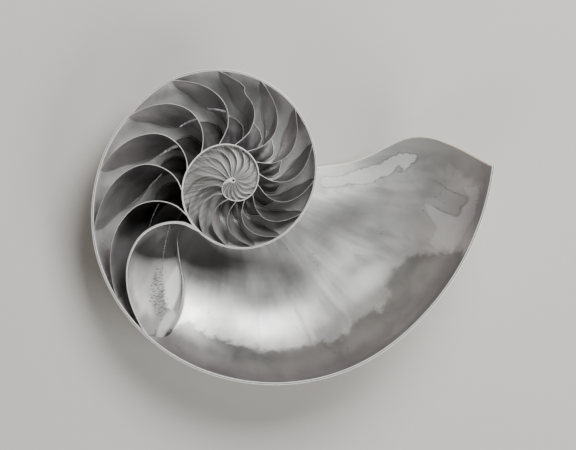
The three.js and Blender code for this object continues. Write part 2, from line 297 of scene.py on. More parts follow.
# How far the patterns of growth are drawn out from cut to axis and from wall to wall.
GROWTH_ACROSS, GROWTH_INWARD, GLAZE_ACROSS = 24.0, 3.0, 10.0
RIB_SPREAD = 0.35
PIT_SPACING = 2.6
STROKE_SLANT = (0.0, 0.0, math.radians(40))
STROKE_STRETCH = (0.3, 1.5, 1.0)

# Edges in the finishes, in millimetres: how deep the painted shade below the cut reaches, the bright
# ridge, whose brightness is a painted highlight, and the start and end of the dark line along a joint and
# how far they waver, the dull margin behind the lip, how far it frays and where it ends, the edge of the
# painted shade in the body chamber and how far it frays, and the edges of a patch and of its outline and
# how far they waver.
CUT_SHADE_EDGE = (0.25, 1.1)
RIDGE_EDGE = (0.3, 0.45)
LINE_START = (0.4, 0.5)
LINE_END = (0.6, 0.9)
RIDGE_WAVER = (-0.07, 0.07)
MARGIN_FRAY = (0.0, 9.0)
MARGIN_EDGE = (12.0, 17.0)
SHADE_EDGE = (-2.2, 0.6)
SHADE_FRAY = (-1.6, 1.6)
PATCH_EDGE = (-0.3, 0.3)
OUTLINE_START = (-0.2, 0.2)
OUTLINE_END = (0.3, 0.6)
PATCH_WAVER = (-0.5, 0.5)
STRIP_EDGE = (-0.3, 0.5)

# The flames outside, in degrees round the coil: how far they lean back from rim to umbilicus, how
# far they drift, and where they fade, before and after their end. Then how much they fray.
FLAME_LEAN = 26.0
FLAME_DRIFT = 22.0
FLAME_FADE = (70, 30)
FLAME_FRAY = 1.6
DRIFT_ALONG, DRIFT_ACROSS = 0.06, 5.0

# Relief of the finishes: depth in millimetres, and strength.
RELIEF = {
    "growth_bands": (0.4, 0.08),
    "streaks_and_pits": (0.04, 0.25),
    "saw_grain": (0.03, 0.5),
    "growth_waves": (0.5, 0.6),
    "growth_lines": (0.1, 0.7),
    "chalk_crust": (0.15, 0.8),
}

# Stretches of the coil over which its looks change, as angles round it.
STRETCHES = {
    "chalk_to_nacre": (560.0, 640.0),
    "cut_shade_grows": (500.0, 640.0),
    "dark_septa_begin": (640.0, 660.0),
    "dark_septa_end": (740.0, 790.0),
    "pits_begin": (690.0, 720.0),
    "pits_end": (750.0, 775.0),
    "newest_chambers_begin": (850.0, 925.0),
    "newest_chambers_end": (958.0, 966.0),
    "thin_wall_ends": (880.0, 935.0),
    "last_septum": (950.0, 960.0),
    "body_chamber": (957.0, 966.0),
}

# Painted light on the face of the last septum, in areas lightened towards white: softness of the edge in
# millimetres, and strength.
PAINTED_LIGHT_AREAS = {"bright_face": (0.7, 1.0), "pale_band": (2.2, 0.9), "pale_foot": (0.8, 0.45)}

# Patches near the lip: colour, strength, strength of the outline, and the X in the frame, in
# millimetres, from which they fade in, and over which width.
LIP_PATCHES = {
    "pale_patch": ("patch_pale", 0.55, 0.3, 12.0),
    "bright_tongue": ("nacre_dark", 0.38, 0.1, 40.0),
    "dark_patch": ("patch_dark", 0.45, 0.45, 59.0),
}
PATCH_FADE = 9.0
# Painted light lightens towards this white.
WHITE = (1.0, 1.0, 1.0, 1.0)

# Softboxes: name, direction from the shell with Z out of the cut, then in metres distance, width
# and height, then power in watts.
SOFTBOXES = (
    ("Key", (0.42, 0.62, 0.7), 0.9, 0.6, 0.5, 13.0),
    ("Side", (0.75, -0.6, 0.45), 1.1, 0.4, 0.6, 8.0),
    ("Low", (-0.25, -0.75, 0.7), 1.1, 0.5, 0.4, 3.0),
)

# The middle of the photograph in the plane of the cut, and the width that it shows there, both in
# millimetres. The floor's radius and how far the camera sees are in metres.
VIEW_MIDDLE = (22.3, -18.2, 0)
VIEW_WIDTH = 235.3
FLOOR_RADIUS = 4.0
SIGHT = 20.0


def lerp(a, b, t):
    return a + (b - a) * t


def ease(t):
    """A soft step from 0 to 1."""
    return t * t * (3 - 2 * t)


def unit(vectors):
    return vectors / np.maximum(np.linalg.norm(vectors, axis=-1, keepdims=True), TINY)


def linear(code):
    """Linear RGBA for an sRGB hex colour."""
    parts = [int(code[i:i + 2], 16) / 255 for i in (1, 3, 5)]
    return (*[c / 12.92 if c <= 0.04045 else ((c + 0.055) / 1.055) ** 2.4 for c in parts], 1.0)


def smooth(points, x):
    """A smooth curve through points (x, y), with each slope from its two neighbours."""
    knots, values = np.array(points, float).T
    width = np.diff(knots)
    secant = np.diff(values) / width
    inner = (secant[:-1] * width[1:] + secant[1:] * width[:-1]) / (width[:-1] + width[1:])
    slope = np.concatenate([secant[:1], inner, secant[-1:]])
    x = np.asarray(x, float)
    i = np.clip(np.searchsorted(knots, x, side="left") - 1, 0, len(width) - 1)
    t = np.clip((x - knots[i]) / width[i], 0, 1)
    bend = t * (1 - t) * ((1 - t) * slope[i] - t * slope[i + 1])
    return lerp(values[i], values[i + 1], ease(t)) + width[i] * bend


def coil_radius(angle):
    return np.exp(smooth([(a, math.log(r)) for a, r in COIL], angle))


def section_curves():
    """Reach and depth over s, from 0 at the rim to 1 at the umbilicus, leaving the cut squarely."""
    section = np.array(SECTION, float)
    way = np.concatenate([[0], np.cumsum(np.hypot(*np.diff(section, axis=0).T))])
    way /= way[-1]
    before = -way[1]
    reach_curve = [(before, section[1, 0]), *zip(way, section[:, 0])]
    depth_curve = [(before, -section[1, 1]), *zip(way, section[:, 1])]
    return reach_curve, depth_curve


REACH, DEPTH = section_curves()


def reach(s):
    return smooth(REACH, s)


def depth(s):
    return FLANK_DEPTH * smooth(DEPTH, s)


def inward(s):
    """Unit normal of the section, pointing into the whorl, as away from the axis and depth."""
    away = reach(s + NEAR) - reach(s - NEAR)
    down = depth(s + NEAR) - depth(s - NEAR)
    length = np.hypot(away, down)
    return -down / length, away / length


def place(angle, away, down):
    """Points in space from polar ones, as an array with a last axis of 3."""
    turn = np.radians(angle)
    flat = np.broadcast_arrays(away * np.cos(turn), away * np.sin(turn), -np.asarray(down, float))
    return np.stack(flat, axis=-1)


def outer_wall(angle, s):
    radius = coil_radius(angle)
    return lerp(CORE_RADIUS, radius, reach(s)), depth(s) * radius


def wall_thickness(angle):
    return WALL_BASE + WALL_FULL * (1 - np.exp(-coil_radius(angle) / WALL_RADIUS))


def inner_wall(angle, s):
    away, down = outer_wall(angle, s)
    step_away, step_down = inward(s)
    wall = wall_thickness(angle)
    return away + wall * step_away, down + wall * step_down


def hollow(angle, s, h):
    """A point in a whorl: h is 0 at its outer wall and 1 at the whorl inside it."""
    outer_away, outer_down = inner_wall(angle, s)
    inner_away, inner_down = outer_wall(angle - TURN, s)
    return lerp(outer_away, inner_away, h), lerp(outer_down, inner_down, h)


def hollow_gap(angle, s):
    outer_away, outer_down = inner_wall(angle, s)
    inner_away, inner_down = outer_wall(angle - TURN, s)
    return np.hypot(outer_away - inner_away, outer_down - inner_down)


class Septum:
    """One wall between two chambers."""

    def __init__(self, angle, newest):
        self.angle = angle
        start, end = LINE_CHANGE
        self.youth = min(max((angle - start) / (end - start), 0), 1)
        self.suture = LAST_SUTURE if newest else SUTURE
        radius = float(coil_radius(angle))
        self.thickness = SEPTUM_BASE + SEPTUM_GROWTH * radius + newest * LAST_SEPTUM_EXTRA
        growth = (angle - FIRST_CHAMBER_END) / FULL_BEND_AFTER
        self.bend = min(max(growth, LEAST_BEND), 1) * (LAST_SEPTUM_BEND if newest else 1)

    def line(self, part):
        return lerp(smooth(OLD_LINE, part), smooth(NEW_LINE, part), self.youth)

    def middle(self, s, h):
        """The angle of the septum's middle surface."""
        foot = self.line(1.0)
        flank = smooth(self.suture, reach(s))
        bulge = self.line(h) - foot * h
        bend = lerp(flank, lerp(foot, INNER_END_ANGLE, s), h) + bulge * (1 - s) ** BULGE_FADE
        if self.angle == BROKEN_SEPTUM:
            way = (h - KINK_PLACE) / KINK_WIDTH
            bend = bend + KINK_SIZE * way * np.exp(0.5 - way * way) * (1 - s) ** KINK_FADE
        return self.angle + self.bend * bend

    def face(self, s, h, side):
        """The angle of one face: side is 1 towards the lip and -1 towards the older chambers."""
        def at(u, v):
            angle = self.middle(u, v)
            return place(angle, *hollow(angle, u, v))
        low_s, high_s = np.maximum(s - NEAR, 0), np.minimum(s + NEAR, 1)
        low_h, high_h = np.maximum(h - NEAR, 0), np.minimum(h + NEAR, 1)
        normal = unit(np.cross(at(high_s, h) - at(low_s, h), at(s, high_h) - at(s, low_h)))
        angle = self.middle(s, h)
        away = hollow(angle, s, h)[0]
        radius = coil_radius(angle)
        along = np.abs(np.sum(normal * place(angle + 90, 1.0, 0.0), axis=-1))
        gap = hollow_gap(angle, s)
        fade = JOINT_REACH * radius
        swell = 1 + JOINT_SWELL * (np.exp(-h * gap / fade) + np.exp(-(1 - h) * gap / fade))
        half = self.thickness / 2 * swell
        arm = np.maximum(away, THINNING_RADIUS * radius)
        shift = np.degrees(half / np.maximum(along, STEEPEST) / arm)
        return angle + side * np.minimum(shift, LARGEST_SHIFT)


def make_septa():
    """All septa, newest first, down to the end of the first chamber."""
    angles = list(SEPTUM_ANGLES)
    while angles[-1] - OLDER_SEPTUM_STEP > OLDEST_SEPTUM_ANGLE:
        angles.append(angles[-1] - OLDER_SEPTUM_STEP)
    angles.append(FIRST_CHAMBER_END)
    return [Septum(angle, i == 0) for i, angle in enumerate(angles)]


class Body:
    """A closed body under construction: its points with their notes, and its faces."""

    def __init__(self):
        self.points = []
        self.count = 0
        self.faces = []
        self.finishes = []

    def add(self, places, **notes):
        """Adds points in any arrangement and returns their numbers in the same arrangement."""
        shape = places.shape[:-1]
        columns = [np.broadcast_to(notes.get(name, 0.0), shape).ravel() for name in NOTES]
        self.points.append(np.column_stack([places.reshape(-1, 3), *columns]))
        numbers = np.arange(self.count, self.count + int(np.prod(shape))).reshape(shape)
        self.count += numbers.size
        return numbers

    def cover(self, corners, finish):
        """Adds faces, given as rows of corners."""
        corners = np.asarray(corners)
        finishes = np.broadcast_to(finish, corners.shape[:-1])
        self.faces.extend(corners.reshape(-1, corners.shape[-1]).tolist())
        self.finishes.extend(finishes.ravel().tolist())

    def skirt(self, loops, finish):
        """Joins closed loops, one below the other, with the body on the left of each loop."""
        upper, lower = loops[:-1], loops[1:]
        corners = [upper, lower, np.roll(lower, -1, axis=1), np.roll(upper, -1, axis=1)]
        self.cover(np.stack(corners, axis=-1), finish)

    def fan(self, loop, tip, finish):
        """Closes a loop with triangles that meet at one point."""
        corners = [np.roll(loop, -1), loop, np.broadcast_to(tip, loop.shape)]
        self.cover(np.stack(corners, axis=-1), finish)

    def zipper(self, left, left_way, right, right_way, finish):
        """Fills the strip between two lines that run the same way, in the order of their ways."""
        i = j = 0
        faces = []
        while i + 1 < len(left) or j + 1 < len(right):
            next_left = left_way[i + 1] if i + 1 < len(left) else math.inf
            next_right = right_way[j + 1] if j + 1 < len(right) else math.inf
            if next_left < next_right:
                faces.append((left[i], right[j], left[i + 1]))
                i += 1
            else:
                faces.append((left[i], right[j], right[j + 1]))
                j += 1
        self.cover(faces, finish)

    def table(self):
        return np.concatenate(self.points)


def spread(count):
    """Ways from 0 to 1, closer together at both ends."""
    return (1 - np.cos(np.linspace(0, math.pi, count + 1))) / 2


def descent(count):
    """Ways from the cut to the axis, closer together at the cut."""
    way = np.linspace(0, 1, count + 1)
    return way * lerp(ROW_CLOSENESS, 1, way)


def kind_of(angle):
    return next(kind for kind in CHAMBER_KINDS if angle <= kind[0])[1:]


def rim_loops(body, outline, edge, **notes):
    """The rounded edge between the cut and a loop in it, as two loops of point numbers."""
    step = np.roll(outline, -1, axis=0) - outline
    normal = unit(np.stack([-step[:, 1], step[:, 0]], axis=-1))
    both = normal + np.roll(normal, 1, axis=0)
    length = np.linalg.norm(both, axis=-1, keepdims=True)
    both /= np.maximum(length * length / 2, CORNER_LIMIT)
    loops = []
    for out, down in EDGE_STEPS:
        ring = outline.copy()
        ring[:, :2] += both * edge[:, None] * out
        ring[:, 2] = -edge * down
        loops.append(body.add(ring, **notes))
    return loops


def edge_size(edge_round, angle):
    """Size of the rounded edge, which stays small on a thin wall."""
    return np.minimum(edge_round, EDGE_LIMIT * wall_thickness(angle))


def line_hollow(body, places, edge, finish, notes):
    """Lines a hollow with its rounded edge and its walls, and returns its first and last loop."""
    places[0, :, 2] = -edge
    rim = {name: np.broadcast_to(value, places.shape[:2])[0] for name, value in notes.items()}
    rims = rim_loops(body, places[0], edge, **rim)
    walls = body.add(places, **notes)
    body.skirt(np.array([*rims, walls[0]]), CUT)
    body.skirt(walls, finish)
    return rims[0], walls[-1]


class Chamber:
    """The pocket between two septa."""

    def __init__(self, body, young, old, edge_round):
        self.rows, self.columns, count = kind_of(young.angle)
        rise = spread(self.rows)
        across = np.linspace(0, 1, self.columns + 1)
        edge = [(0, i) for i in range(self.columns)]
        edge += [(i, self.columns) for i in range(self.rows)]
        edge += [(self.rows, self.columns - i) for i in range(self.columns)]
        edge += [(self.rows - i, 0) for i in range(self.rows)]
        row, column = np.array(edge).T
        self.deepest = float(smooth(POCKET_DEPTH, min(young.angle, POCKET_DEPTH[-1][0])))
        side = self.deepest * descent(count)

        def corners(s, h, t):
            young_angle, old_angle = young.face(s, h, -1), old.face(s, h, 1)
            angle = lerp(young_angle, old_angle, t)
            away, down = hollow(angle, s, h)
            arc = np.radians(np.minimum(np.abs(young_angle - angle), np.abs(angle - old_angle)))
            gap = hollow_gap(angle, s)
            on_septum = (t == 0) | (t == 1)
            notes = {
                "turn": angle, "side": s, "rise": h, "layer": 1.0, "margin": FAR,
                "septum": np.where(on_septum, 1.0, 0.0),
                "joint": np.where(on_septum, np.minimum(h, 1 - h) * gap, arc * away),
            }
            return angle, place(angle, away, down), notes

        s, h = np.meshgrid(side, rise[row], indexing="ij")
        t = np.broadcast_to(across[column], s.shape)
        angle, places, notes = corners(s, h, t)
        self.angle = angle[0]
        edge = edge_size(edge_round, self.angle)
        self.ring, deepest = line_hollow(body, places, edge, NACRE, notes)
        self.close(body, deepest, corners, row, column, rise, across)

    def close(self, body, ring, corners, row, column, rise, across):
        """Closes the pocket at the axis."""
        numbers = np.full((self.rows + 1, self.columns + 1), -1)
        numbers[row, column] = ring
        inner_row, inner_column = np.nonzero(numbers < 0)
        s = np.full(inner_row.shape, self.deepest)
        _, places, notes = corners(s, rise[inner_row], across[inner_column])
        numbers[inner_row, inner_column] = body.add(places, **notes)
        quads = [numbers[:-1, :-1], numbers[1:, :-1], numbers[1:, 1:], numbers[:-1, 1:]]
        body.cover(np.stack(quads, axis=-1), NACRE)

    def wall_edge(self):
        """Along the outer wall, towards the lip."""
        pick = np.arange(self.columns, -1, -1)
        return self.ring[pick], self.angle[pick]

    def inner_edge(self):
        """Along the whorl inside, towards the lip."""
        pick = np.arange(self.columns + self.rows, 2 * self.columns + self.rows + 1)
        return self.ring[pick], self.angle[pick] - TURN

    def old_edge(self):
        """Along the older septum, from the outer wall inwards."""
        return self.ring[self.columns:self.columns + self.rows + 1], spread(self.rows)

    def young_edge(self):
        """Along the younger septum, from the outer wall inwards."""
        pick = -np.arange(self.rows + 1)
        return self.ring[pick], spread(self.rows)


class Outside:
    """The body chamber, the last septum, the whorl inside it, and the outside to the lip."""

    def __init__(self, body, last, edge_round):
        self.rows, _, count = kind_of(last.angle)
        side = descent(count + OUTSIDE_EXTRA_ROWS)[:, None]
        lip = LIP_ANGLE + smooth(LIP, reach(side))
        rise = spread(self.rows)[None, :]
        septum = last.face(side, rise, 1)
        along = np.linspace(0, 1, BODY_COLUMNS + 1)[None, :-1]
        wall = lerp(lip, septum[:, :1], along)
        foot = septum[:, -1:] - TURN
        beyond = np.linspace(0, 1, OUTSIDE_COLUMNS + 1)[None, 1:]
        outside = lerp(foot, lip, beyond)
        self.foot = BODY_COLUMNS + self.rows
        shape = (len(side), self.foot + 1 + OUTSIDE_COLUMNS + LIP_COLUMNS)

        wall_away, wall_down = inner_wall(wall, side)
        septum_away, septum_down = hollow(septum, side, rise)
        out_away, out_down = outer_wall(outside, side)
        round_way = np.radians(np.linspace(0, 180, LIP_COLUMNS + 2)[None, 1:-1])
        layer = (1 - np.cos(round_way)) / 2
        tip_away, tip_down = (
            lerp(outer, inner, layer)
            for outer, inner in zip(outer_wall(lip, side), inner_wall(lip, side))
        )
        half_wall = wall_thickness(lip) / 2
        tip = lip + np.degrees(half_wall * np.sin(round_way) / tip_away)

        angle = np.concatenate([wall, septum, outside, tip], axis=1)
        away = np.concatenate([wall_away, septum_away, out_away, tip_away], axis=1)
        down = np.concatenate([wall_down, septum_down, out_down, tip_down], axis=1)
        side = np.broadcast_to(side, shape)
        gap = hollow_gap(septum, side[:, :1])
        from_septum = np.radians(wall - septum[:, :1]) * wall_away
        rest = np.full((shape[0], shape[1] - self.foot - 1), FAR)
        joint = np.concatenate([from_septum, np.minimum(rise, 1 - rise) * gap, rest], axis=1)
        arc = np.radians(np.abs(lip - angle)) * away
        notes = {
            "turn": angle, "side": side, "joint": joint,
            "rise": self.columns(0.0, rise[0], 0.0, 0.0),
            "layer": self.columns(1.0, 1.0, 0.0, layer[0]),
            "septum": self.columns(0.0, LAST_SEPTUM_NOTE, 0.0, 0.0),
            "margin": np.minimum(arc, FAR),
        }
        places = place(angle, away, down)
        self.angle = angle[0]
        edge = edge_size(edge_round, self.angle)
        finishes = self.columns(NACRE, NACRE, PORCELAIN, PORCELAIN).astype(int)
        self.ring, deepest = line_hollow(body, places, edge, finishes, notes)
        self.close(body, deepest, places[-1], angle[-1])

    def columns(self, wall, septum, outside, tip):
        """One value for each column of the loop."""
        return np.concatenate([
            np.broadcast_to(wall, BODY_COLUMNS), np.broadcast_to(septum, self.rows + 1),
            np.broadcast_to(outside, OUTSIDE_COLUMNS), np.broadcast_to(tip, LIP_COLUMNS),
        ])

    def wall_edge(self):
        """Along the outer wall of the body chamber, towards the lip."""
        pick = np.arange(BODY_COLUMNS, -1, -1)
        return self.ring[pick], self.angle[pick]

    def inner_edge(self):
        """Along the whorl inside and on round the outside, to the lip."""
        ways = self.angle[self.foot:].copy()
        ways[0] -= TURN
        return self.ring[self.foot:], ways

    def old_edge(self):
        """Along the last septum, from the outer wall inwards."""
        return self.ring[BODY_COLUMNS:self.foot + 1], spread(self.rows)

    def close(self, body, loop, places, angle):
        """Closes the hollow on the column, and the outside with the callus."""
        past = angle[self.foot + 1:] + TURN >= angle[0]
        under_lip = self.foot + 1 + int(np.argmax(past))
        wall_way = np.linspace(0, WALL_SHARE, BODY_COLUMNS, endpoint=False)
        septum_way = lerp(WALL_SHARE, 1, spread(self.rows)[:-1])
        left_way = np.concatenate([wall_way, septum_way])
        right = loop[self.foot:under_lip + 1][::-1]
        right_way = np.linspace(0, 1, len(right))
        body.zipper(loop[:self.foot], left_way, right, right_way, NACRE)
        pick = np.append(np.arange(under_lip, len(loop)), 0)
        self.add_callus(body, loop[pick], places[pick], angle[pick])

    def add_callus(self, body, ring, rim, angle):
        """The callus: rings that sink from the umbilicus' edge into a shallow dimple."""
        middle = np.array([0.0, 0.0, -CALLUS_DEPTH])
        rows = [ring]
        for way in np.linspace(0, 1, CALLUS_RINGS + 1)[1:-1]:
            points = rim * (1 - way)
            points[:, 2] = lerp(rim[:, 2] + CALLUS_LEAD * way * (1 - way), middle[2], ease(way))
            rows.append(body.add(points, turn=angle, side=1.0, margin=FAR, joint=FAR))
        body.skirt(np.array(rows), PORCELAIN)
        tip = body.add(middle, side=1.0, margin=FAR, joint=FAR)
        body.fan(rows[-1], tip, PORCELAIN)


def add_perforation(body, edge_round):
    """The small perforation at the centre of the coil, a shallow pit."""
    angle = -TURN * np.arange(PERFORATION_COLUMNS) / PERFORATION_COLUMNS
    edge = np.full(angle.shape, PERFORATION_EDGE * edge_round)
    notes = {"layer": 1.0, "margin": FAR, "joint": FAR}
    down = PERFORATION_DEPTH * np.array([[0.0], [0.5], [1.0]])
    places = place(angle, PERFORATION_RADIUS, down)
    ring, deepest = line_hollow(body, places, edge, NACRE, notes)
    floor = body.add(np.array([0.0, 0.0, -PERFORATION_DEPTH]), **notes)
    body.fan(deepest, floor, NACRE)
    return ring


def add_cut(body, outside, chambers, perforation):
    """The sawn face: the coil's wall, every septum, and the small disc in the middle."""
    walls = [outside, *chambers]
    inner = [part.wall_edge() for part in reversed(walls)]
    outer = [part.inner_edge() for part in reversed(chambers)] + [outside.inner_edge()]
    inner_line, inner_way = (np.concatenate(column) for column in zip(*inner))
    outer_line, outer_way = (np.concatenate(column) for column in zip(*outer))
    start = int(np.argmax(outer_way >= inner_way[0]))
    body.zipper(inner_line, inner_way, outer_line[start:], outer_way[start:], CUT)
    for young, old in zip(walls, walls[1:]):
        apical, adoral = old.young_edge(), young.old_edge()
        body.zipper(*apical, *adoral, CUT)
    oldest = chambers[-1].old_edge()[0]
    outline = np.concatenate([outer_line[:start + 1], oldest[:-1]])
    table = body.table()[:, :3]
    loops = [[Vector(table[number]) for number in line] for line in (outline, perforation)]
    numbers = np.concatenate([outline, perforation])
    for triangle in geometry.tessellate_polygon(loops):
        a, b, c = numbers[list(triangle)]
        one, two = table[b] - table[a], table[c] - table[a]
        faces_up = one[0] * two[1] - one[1] * two[0] > 0
        body.cover([(a, b, c) if faces_up else (a, c, b)], CUT)


def shell_body(edge_round):
    body = Body()
    septa = make_septa()
    outside = Outside(body, septa[0], edge_round)
    chambers = [Chamber(body, *pair, edge_round) for pair in zip(septa, septa[1:])]
    add_cut(body, outside, chambers, add_perforation(body, edge_round))
    return body


def frame_matrix():
    """From the plane of the cut to the frame, found from the mount on the sawn face."""
    mount = frame["record"]["mounts"][0]
    normal = Vector(mount["axis"])
    turn_y = math.asin(normal.x)
    turn_x = math.atan2(-normal.y, normal.z)
    turn = Matrix.Rotation(turn_x, 4, "X") @ Matrix.Rotation(turn_y, 4, "Y")
    shift = Vector(mount["pos_m"]) - turn @ (Vector(MOUNT_PLACE) * MM)
    return Matrix.Translation(shift) @ turn


def outline_distance(points, outline):
    """Distance of points in the plane from an outline, negative inside it."""
    start = np.array(outline, float)
    end = np.roll(start, -1, axis=0)
    nearest = np.full(len(points), FAR)
    inside = np.zeros(len(points), bool)
    for (ax, ay), (bx, by) in zip(start, end):
        step = np.array([bx - ax, by - ay])
        away = points - (ax, ay)
        way = np.clip(away @ step / (step @ step), 0, 1)
        nearest = np.minimum(nearest, np.linalg.norm(away - way[:, None] * step, axis=1))
        crosses = (ay > points[:, 1]) != (by > points[:, 1])
        rise = (by - ay) or 1.0
        inside ^= crosses & (points[:, 0] < (bx - ax) * (points[:, 1] - ay) / rise + ax)
    return np.where(inside, -nearest, nearest)


def painted_spot_sum(points):
    """How much painted light lightens, or painted shade darkens, the mother of pearl at points in the
    plane.
    """
    total = np.zeros(len(points))
    for x, y, along, across, slant, strength in PAINTED_LIGHT_AND_SHADE_SPOTS:
        turn = math.radians(slant)
        away = points - (x, y)
        u = (away @ (math.cos(turn), math.sin(turn))) / along
        v = (away @ (-math.sin(turn), math.cos(turn))) / across
        total += strength * np.exp(-(u * u + v * v))
    return total


def shell_mesh(body, name):
    """A Blender mesh of the body, in its place in the frame, with its notes as attributes."""
    table = body.table()
    mesh = bpy.data.meshes.new(name)
    mesh.from_pydata((table[:, :3] * MM).tolist(), [], body.faces)
    mesh.transform(frame_matrix())
    mesh.polygons.foreach_set("material_index", body.finishes)
    mesh.shade_smooth()
    notes = dict(zip(NOTES, table[:, 3:].T))
    notes |= {patch: outline_distance(table[:, :2], line) for patch, line in PATCHES.items()}
    notes |= {"cloud": painted_spot_sum(table[:, :2]), "sunk": -table[:, 2]}
    for note, values in notes.items():
        attribute = mesh.attributes.new(note, "FLOAT", "POINT")
        attribute.data.foreach_set("value", values.astype(np.float32))
    mesh.update()
    return mesh


def add(tree, kind, inputs=None, **settings):
    """Adds a node with its settings, and links or sets its inputs by name or number."""
    node = tree.nodes.new(kind)
    for name, value in settings.items():
        setattr(node, name, value)
    for name, value in (inputs or {}).items():
        if isinstance(value, bpy.types.NodeSocket):
            tree.links.new(value, node.inputs[name])
        else:
            node.inputs[name].default_value = value
    return node


# The nodes of the finishes: kind, inputs in the order in which they are given, output, settings. A
# band is a soft step between two numbers as its value goes from low to high.
NODES = {
    "note": ("ShaderNodeAttribute", (), "Fac", {}),
    "plus": ("ShaderNodeMath", (0, 1), 0, {"operation": "ADD"}),
    "minus": ("ShaderNodeMath", (0, 1), 0, {"operation": "SUBTRACT"}),
    "times": ("ShaderNodeMath", (0, 1), 0, {"operation": "MULTIPLY"}),
    "power": ("ShaderNodeMath", (0, 1), 0, {"operation": "POWER"}),
    "sine": ("ShaderNodeMath", (0,), 0, {"operation": "SINE"}),
    "band": (
        "ShaderNodeMapRange", ("Value", "From Min", "From Max", "To Min", "To Max"), "Result",
        {"interpolation_type": "SMOOTHSTEP"},
    ),
    "vector": ("ShaderNodeCombineXYZ", ("X", "Y", "Z"), 0, {}),
    "noise": (
        "ShaderNodeTexNoise", ("Vector", "Scale", "Detail", "Roughness", "Distortion"), "Fac", {},
    ),
    "mix": ("ShaderNodeMix", ("Factor", 6, 7), 2, {"data_type": "RGBA"}),
    "bump": ("ShaderNodeBump", ("Height", "Distance", "Strength", "Normal"), 0, {}),
}


def pattern(name):
    """Scale, detail, roughness and warp of a pattern."""
    size, *rest = PATTERNS[name]
    return 1.0 / size, *rest


def relief(name):
    """Depth in metres and strength of a relief."""
    height, strength = RELIEF[name]
    return height * MM, strength


class Finish:
    """A material under construction: its coordinates in millimetres, the notes that it reads from
    the mesh, and its colour so far."""

    def __init__(self, name, constants, notes=()):
        self.material = bpy.data.materials.new(name)
        self.material.use_nodes = True
        self.tree = self.material.node_tree
        self.tree.nodes.clear()
        self.shader = add(self.tree, "ShaderNodeBsdfPrincipled", constants)
        add(self.tree, "ShaderNodeOutputMaterial", {"Surface": self.shader.outputs["BSDF"]})
        coordinates = add(self.tree, "ShaderNodeTexCoord").outputs["Object"]
        scale = {"Vector": coordinates, "Scale": (1 / MM, 1 / MM, 1 / MM)}
        self.place = add(self.tree, "ShaderNodeMapping", scale).outputs[0]
        for note in notes:
            setattr(self, note, self.node("note", attribute_name=note))
        self.colour = None

    def node(self, name, *values, **settings):
        """Adds one of NODES with its inputs in order, and returns its output."""
        kind, inputs, output, fixed = NODES[name]
        made = add(self.tree, kind, dict(zip(inputs, values)), **fixed, **settings)
        return made.outputs[output]

    def lay(self, part, shade, strength=1.0):
        """Lays a colour over the colour so far, where and as far as the part says."""
        if strength != 1.0:
            part = self.node("times", part, strength)
        self.colour = self.node("mix", part, self.colour, shade)

    def done(self, **sockets):
        """Links the colour and other sockets to the shader, and returns the material."""
        for name, value in {"Base_Color": self.colour, **sockets}.items():
            self.tree.links.new(value, self.shader.inputs[name.replace("_", " ")])
        return self.material


